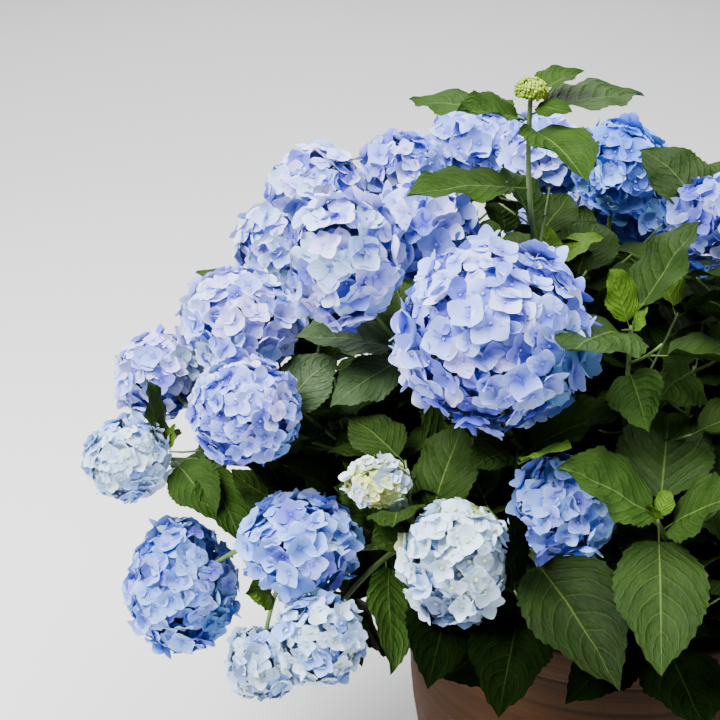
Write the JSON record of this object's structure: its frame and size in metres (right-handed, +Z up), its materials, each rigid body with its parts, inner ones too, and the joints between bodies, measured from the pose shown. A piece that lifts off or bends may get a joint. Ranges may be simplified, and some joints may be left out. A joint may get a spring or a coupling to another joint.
{
  "type": "hydrangea shrub",
  "caption": "Mophead hydrangea shrub in a round ceramic pot, with arching canes, broad toothed leaves and ball-shaped blooms in blue, lilac and white.",
  "frame": {"origin": "middle of the pot's flat underside", "axes": "+Z up the pot's axis; -Y is the front, from which the shrub is usually seen; -X is the side with the widest and lowest blooms"},
  "size_m": [1.0803, 0.8775, 0.9394],
  "materials": {
    "pot": "matte",
    "soil": "matte",
    "cane": "matte",
    "foliage": "satin",
    "blossom": "matte"
  },
  "bodies": {
    "root": {"pot": "pot", "soil": "soil", "front_top_cane": "cane", "front_top_foliage": "foliage", "left_top_cane": "cane", "left_top_foliage": "foliage", "left_back_cane": "cane", "left_back_foliage": "foliage", "left_middle_cane": "cane", "left_middle_foliage": "foliage", "far_left_cane": "cane", "far_left_foliage": "foliage", "low_left_cane": "cane", "low_left_foliage": "foliage", "low_front_cane": "cane", "low_front_foliage": "foliage", "front_cane": "cane", "front_foliage": "foliage", "right_front_cane": "cane", "right_front_foliage": "foliage", "tall_cane": "cane", "tall_foliage": "foliage", "back_left_cane": "cane", "back_left_foliage": "foliage", "back_cane": "cane", "back_foliage": "foliage", "right_top_cane": "cane", "right_top_foliage": "foliage", "front_leafy_cane": "cane", "front_leafy_foliage": "foliage", "top_leafy_cane": "cane", "top_leafy_foliage": "foliage", "right_leafy_cane": "cane", "right_leafy_foliage": "foliage", "low_leafy_cane": "cane", "low_leafy_foliage": "foliage", "back_leafy_cane": "cane", "back_leafy_foliage": "foliage", "side_leafy_cane": "cane", "side_leafy_foliage": "foliage", "right_low_cane": "cane", "right_low_foliage": "foliage", "right_middle_cane": "cane", "right_middle_foliage": "foliage", "right_far_cane": "cane", "right_far_foliage": "foliage", "right_back_cane": "cane", "right_back_foliage": "foliage", "far_back_cane": "cane", "far_back_foliage": "foliage", "back_low_cane": "cane", "back_low_foliage": "foliage"}
  },
  "joints": []
}
